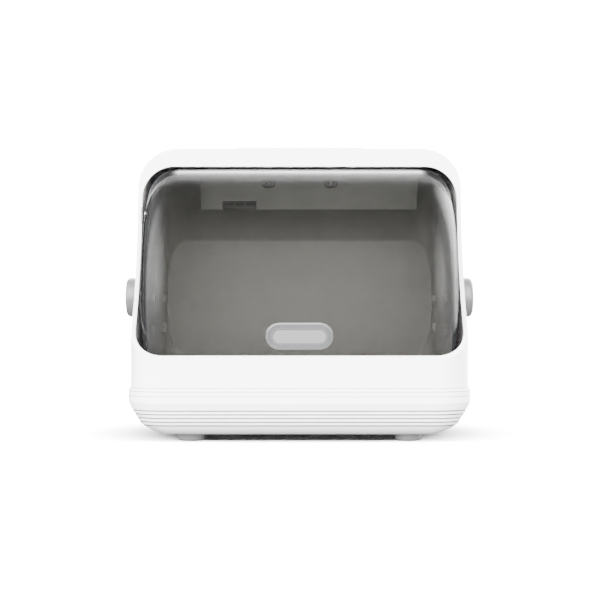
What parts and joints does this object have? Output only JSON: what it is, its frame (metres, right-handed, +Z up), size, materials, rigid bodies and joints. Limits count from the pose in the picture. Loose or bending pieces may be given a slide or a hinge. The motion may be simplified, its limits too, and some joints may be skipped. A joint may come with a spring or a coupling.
{
  "type": "baby bottle sterilizer",
  "caption": "Countertop UV sterilizer and dryer cabinet with a tilting smoked drum visor, lamp-lit chamber, lift-out rack and tray, top keys and a blower base.",
  "frame": {"origin": "middle of the footprint, on the surface that the feet rest on", "axes": "+X to the right as seen from the front, +Y to the back, so the front faces -Y, +Z up"},
  "size_m": [0.3908, 0.3092, 0.3206],
  "materials": {
    "white_shell": "smooth satin white moulding",
    "panel_white": "glossy white pad",
    "key_grey": "satin light grey",
    "smoked_visor": "clear smoked, polished",
    "silver_grey": "satin silver grey",
    "pale_grey": "polished pale grey",
    "liner_grey": "satin grey",
    "lamp_plate_metal": "brushed, satin",
    "steel": "bright plated",
    "brass_pins": "bright",
    "tube_glass": "clear quartz tube",
    "socket_white": "matt white",
    "dark_plastic": "matt black",
    "bush_nylon": "natural nylon",
    "cover_grey": "satin grey",
    "filter_white": "satin white",
    "filter_foam": "open white filter pad",
    "tray_white": "satin white",
    "base_grey": "moulded white-grey",
    "foot_rubber": "matt mid grey",
    "board_green": "green board",
    "board_black": "black mouldings",
    "ballast_case": "plain grey case",
    "duct_metal": "plain sheet",
    "motor_metal": "plated can"
  },
  "bodies": {
    "cabinet": {"outer_shell": "white_shell", "back_cover": "white_shell", "chassis_plate": "white_shell", "base_shell": "white_shell", "trim_ring": "white_shell", "control_panel": "panel_white", "chamber_liner": "liner_grey", "lamp_plate": "lamp_plate_metal", "lamp_brackets": "lamp_plate_metal", "tube_caps": "lamp_plate_metal", "ptc_heater": "lamp_plate_metal", "air_grille": "lamp_plate_metal", "back_cover_screws": "steel", "bottom_screws": "steel", "lamp_plate_screws": "steel", "board_cover_screws": "steel", "inlet_pins": "brass_pins", "uv_tube": "tube_glass", "lamp_sockets": "socket_white", "lamp_strip": "dark_plastic", "power_inlet": "dark_plastic", "reed_switch": "dark_plastic", "blower_housing": "dark_plastic", "hinge_bush_left": "bush_nylon", "hinge_bush_right": "bush_nylon", "hinge_washers": "bush_nylon", "board_cover": "cover_grey", "bottom_plate": "base_grey", "rubber_feet": "foot_rubber", "control_board": "board_green", "main_board": "board_green", "tact_switches": "board_black", "board_parts": "board_black", "board_standoffs": "board_black", "lamp_ballast": "ballast_case", "hot_air_duct": "duct_metal", "blower_motor": "motor_metal"},
    "visor_lid": {"visor": "smoked_visor", "handle_body": "silver_grey", "handle_inset": "pale_grey", "handle_screws": "steel", "hinge_disc_right": "silver_grey", "hinge_disc_left": "silver_grey", "hinge_retainers": "steel", "lid_magnet": "steel"},
    "filter_drawer": {"filter_frame": "filter_white", "filter_pad": "filter_foam"},
    "fan": {"fan_wheel": "dark_plastic"},
    "tray": {"drip_tray": "tray_white"},
    "rack_body": {"rack": "tray_white"},
    "key_1": {"key_1": "key_grey"},
    "key_2": {"key_2": "key_grey"},
    "key_3": {"key_3": "key_grey"},
    "key_4": {"key_4": "key_grey"},
    "key_5": {"key_5": "key_grey"},
    "key_6": {"key_6": "key_grey"}
  },
  "joints": [
    {"name": "visor_hinge", "type": "hinge", "parent": "cabinet", "child": "visor_lid", "pos_m": [0, -0.002, 0.153], "axis": [-1, 0, 0], "range_deg": [0, 80]},
    {"name": "filter_pull", "type": "slide", "parent": "cabinet", "child": "filter_drawer", "axis": [0, 1, 0], "range_m": [0, 0.02]},
    {"name": "fan_spin", "type": "hinge", "parent": "cabinet", "child": "fan", "pos_m": [0, 0.012, 0.02], "axis": [0, 0, 1], "continuous": true},
    {"name": "tray_lift", "type": "slide", "parent": "cabinet", "child": "tray", "axis": [0, 0, 1], "range_m": [0, 0.03]},
    {"name": "rack_lift", "type": "slide", "parent": "tray", "child": "rack_body", "axis": [0, 0, 1], "range_m": [0, 0.08]},
    {"name": "key_1_press", "type": "slide", "parent": "cabinet", "child": "key_1", "axis": [0, 0, -1], "range_m": [0, 0.0008], "stiffness_N_per_m": 1200, "springref_m": -0.0005},
    {"name": "key_2_press", "type": "slide", "parent": "cabinet", "child": "key_2", "axis": [0, 0, -1], "range_m": [0, 0.0008], "stiffness_N_per_m": 1200, "springref_m": -0.0005},
    {"name": "key_3_press", "type": "slide", "parent": "cabinet", "child": "key_3", "axis": [0, 0, -1], "range_m": [0, 0.0008], "stiffness_N_per_m": 1200, "springref_m": -0.0005},
    {"name": "key_4_press", "type": "slide", "parent": "cabinet", "child": "key_4", "axis": [0, 0, -1], "range_m": [0, 0.0008], "stiffness_N_per_m": 1200, "springref_m": -0.0005},
    {"name": "key_5_press", "type": "slide", "parent": "cabinet", "child": "key_5", "axis": [0, 0, -1], "range_m": [0, 0.0008], "stiffness_N_per_m": 1200, "springref_m": -0.0005},
    {"name": "key_6_press", "type": "slide", "parent": "cabinet", "child": "key_6", "axis": [0, 0, -1], "range_m": [0, 0.0008], "stiffness_N_per_m": 1200, "springref_m": -0.0005}
  ]
}
